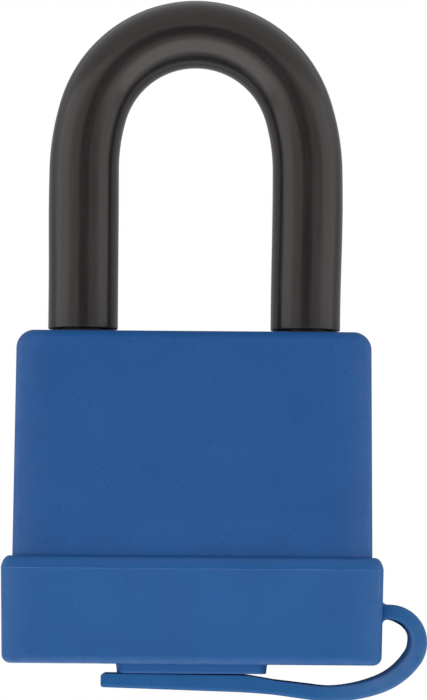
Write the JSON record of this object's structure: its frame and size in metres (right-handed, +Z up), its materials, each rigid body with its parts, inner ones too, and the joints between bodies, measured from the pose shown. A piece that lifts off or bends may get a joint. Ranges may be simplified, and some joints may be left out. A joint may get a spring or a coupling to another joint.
{
  "type": "weatherproof padlock",
  "caption": "Weatherproof key padlock: blue moulded jacket and base cap over a brass lock body, black-sleeved shackle, tethered keyway cover.",
  "frame": {"origin": "on the key axis, at the underside of the base cap", "axes": "+X to the right, towards the tether strap and the toe leg; +Y to the back; +Z up, towards the shackle's bow"},
  "size_m": [0.0592, 0.023, 0.0986],
  "materials": {
    "jacket_plastic": "fine spark-eroded grain, blue",
    "cap_plastic": "smooth satin, blue",
    "cover_plastic": "smooth satin, flexible, blue",
    "sleeve_plastic": "soft gloss, black",
    "seal_rubber": "matt, black",
    "shackle_steel": "drawn bar, plated",
    "hardened_steel": "turned and hardened",
    "spring_steel": "drawn wire",
    "body_brass": "milled and drilled",
    "cylinder_brass": "turned"
  },
  "bodies": {
    "lock_case": {"lock_body": "body_brass", "body_jacket": "jacket_plastic", "base_cap": "cap_plastic", "cover_strap": "cover_plastic", "heel_seal": "seal_rubber", "toe_seal": "seal_rubber", "shackle_spring": "spring_steel", "shackle_retaining_pin": "hardened_steel", "plug_cross_pin": "hardened_steel", "front_bolt_spring": "spring_steel", "rear_bolt_spring": "spring_steel", "bolt_channel_plug": "body_brass", "chamber_plugs": "body_brass", "pin_spring_1": "spring_steel", "pin_spring_2": "spring_steel", "pin_spring_3": "spring_steel", "pin_spring_4": "spring_steel", "pin_spring_5": "spring_steel"},
    "shackle": {"shackle": "shackle_steel", "shackle_sleeve": "sleeve_plastic"},
    "key_plug": {"cylinder_plug": "cylinder_brass", "plug_cam": "hardened_steel"},
    "heel_bolt": {"heel_bolt": "hardened_steel"},
    "toe_bolt": {"toe_bolt": "hardened_steel"},
    "keyway_cover": {"keyway_cover": "cover_plastic"},
    "key_pin_1": {"key_pin_1": "cylinder_brass"},
    "key_pin_2": {"key_pin_2": "cylinder_brass"},
    "key_pin_3": {"key_pin_3": "cylinder_brass"},
    "key_pin_4": {"key_pin_4": "cylinder_brass"},
    "key_pin_5": {"key_pin_5": "cylinder_brass"},
    "driver_pin_1": {"driver_pin_1": "cylinder_brass"},
    "driver_pin_2": {"driver_pin_2": "cylinder_brass"},
    "driver_pin_3": {"driver_pin_3": "cylinder_brass"},
    "driver_pin_4": {"driver_pin_4": "cylinder_brass"},
    "driver_pin_5": {"driver_pin_5": "cylinder_brass"}
  },
  "joints": [
    {"name": "shackle_lift", "type": "slide", "parent": "lock_case", "child": "shackle", "axis": [0, 0, 1], "range_m": [0, 0.015], "deforming": ["shackle_spring"]},
    {"name": "plug_turn", "type": "hinge", "parent": "lock_case", "child": "key_plug", "pos_m": [0, 0, 0.015], "axis": [0, 0, 1], "range_deg": [-90, 0], "deforming": ["front_bolt_spring", "rear_bolt_spring"]},
    {"name": "heel_bolt_slide", "type": "slide", "parent": "lock_case", "child": "heel_bolt", "axis": [1, 0, 0], "range_m": [-0.00176, 0]},
    {"name": "toe_bolt_slide", "type": "slide", "parent": "lock_case", "child": "toe_bolt", "axis": [-1, 0, 0], "range_m": [-0.00176, 0]},
    {"name": "cover_hinge", "type": "hinge", "parent": "lock_case", "child": "keyway_cover", "pos_m": [0.0316, 0, 0.0032], "axis": [0, -1, 0], "range_deg": [0, 100], "deforming": ["cover_strap"]},
    {"name": "key_pin_1_drop", "type": "slide", "parent": "key_plug", "child": "key_pin_1", "axis": [0, -1, 0], "range_m": [0, 0.0029]},
    {"name": "key_pin_2_drop", "type": "slide", "parent": "key_plug", "child": "key_pin_2", "axis": [0, -1, 0], "range_m": [0, 0.002]},
    {"name": "key_pin_3_drop", "type": "slide", "parent": "key_plug", "child": "key_pin_3", "axis": [0, -1, 0], "range_m": [0, 0.0026]},
    {"name": "key_pin_4_drop", "type": "slide", "parent": "key_plug", "child": "key_pin_4", "axis": [0, -1, 0], "range_m": [0, 0.0014]},
    {"name": "key_pin_5_drop", "type": "slide", "parent": "key_plug", "child": "key_pin_5", "axis": [0, -1, 0], "range_m": [0, 0.0023]},
    {"name": "driver_pin_1_slide", "type": "slide", "parent": "lock_case", "child": "driver_pin_1", "axis": [1, 0, 0], "range_m": [0, 0.0015], "stiffness_N_per_m": 20, "springref_m": -0.002, "deforming": ["pin_spring_1"]},
    {"name": "driver_pin_2_slide", "type": "slide", "parent": "lock_case", "child": "driver_pin_2", "axis": [1, 0, 0], "range_m": [0, 0.0015], "stiffness_N_per_m": 20, "springref_m": -0.002, "deforming": ["pin_spring_2"]},
    {"name": "driver_pin_3_slide", "type": "slide", "parent": "lock_case", "child": "driver_pin_3", "axis": [1, 0, 0], "range_m": [0, 0.0015], "stiffness_N_per_m": 20, "springref_m": -0.002, "deforming": ["pin_spring_3"]},
    {"name": "driver_pin_4_slide", "type": "slide", "parent": "lock_case", "child": "driver_pin_4", "axis": [1, 0, 0], "range_m": [0, 0.0015], "stiffness_N_per_m": 20, "springref_m": -0.002, "deforming": ["pin_spring_4"]},
    {"name": "driver_pin_5_slide", "type": "slide", "parent": "lock_case", "child": "driver_pin_5", "axis": [1, 0, 0], "range_m": [0, 0.0015], "stiffness_N_per_m": 20, "springref_m": -0.002, "deforming": ["pin_spring_5"]}
  ],
  "couplings": [
    {"joint": "heel_bolt_slide", "follows": "plug_turn", "m_per_rad": 0.0011141},
    {"joint": "toe_bolt_slide", "follows": "plug_turn", "m_per_rad": 0.0011141}
  ]
}
